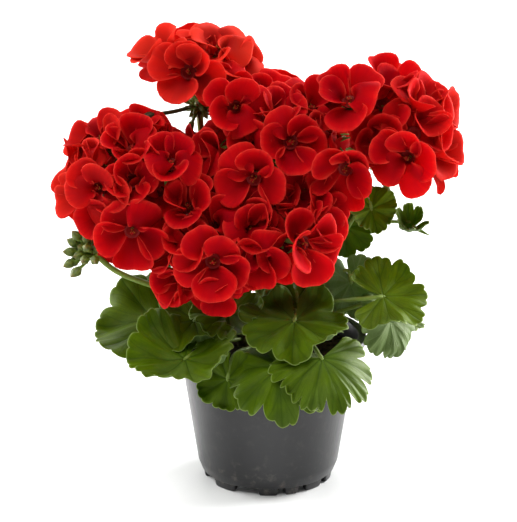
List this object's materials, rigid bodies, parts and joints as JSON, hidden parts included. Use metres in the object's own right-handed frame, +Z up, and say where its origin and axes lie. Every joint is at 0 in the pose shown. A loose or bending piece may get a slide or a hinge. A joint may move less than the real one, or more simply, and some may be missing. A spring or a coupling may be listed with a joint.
{
  "type": "potted geranium",
  "caption": "Bedding geranium with round scalloped leaves and heads of red florets, growing in a round dark plastic nursery pot.",
  "frame": {"origin": "on the surface the pot stands on, under the middle of the whole plant's box", "axes": "+Z up, +X to the viewer's right in the picture, +Y away from the viewer"},
  "size_m": [0.2386, 0.1924, 0.2791],
  "materials": {
    "pot": "satin, dark grey",
    "peat": "rough, crumbly, dark brown",
    "greenery": "velvety green leaf and stem",
    "petals": "velvety scarlet red"
  },
  "bodies": {
    "root": {"leafy_stem_back": "greenery", "leafy_stem_front": "greenery", "leafy_stem_left": "greenery", "leafy_stem_right": "greenery", "petals_back_head": "petals", "petals_back_head_2": "petals", "petals_back_head_3": "petals", "petals_back_head_4": "petals", "petals_back_head_5": "petals", "petals_centre_head": "petals", "petals_centre_head_2": "petals", "petals_centre_head_3": "petals", "petals_centre_head_4": "petals", "petals_centre_head_5": "petals", "petals_centre_head_6": "petals", "petals_front_left_head": "petals", "petals_front_left_head_2": "petals", "petals_front_left_head_3": "petals", "petals_front_right_head": "petals", "petals_front_right_head_2": "petals", "petals_front_right_head_3": "petals", "petals_left_head": "petals", "petals_left_head_2": "petals", "petals_left_head_3": "petals", "petals_left_head_4": "petals", "petals_left_head_5": "petals", "petals_left_head_6": "petals", "petals_left_head_7": "petals", "petals_right_head": "petals", "petals_right_head_2": "petals", "petals_right_head_3": "petals", "petals_right_head_4": "petals", "petals_right_head_5": "petals", "petals_top_left_head": "petals", "petals_top_left_head_2": "petals", "petals_top_left_head_3": "petals", "pot": "pot", "soil": "peat"}
  },
  "joints": []
}
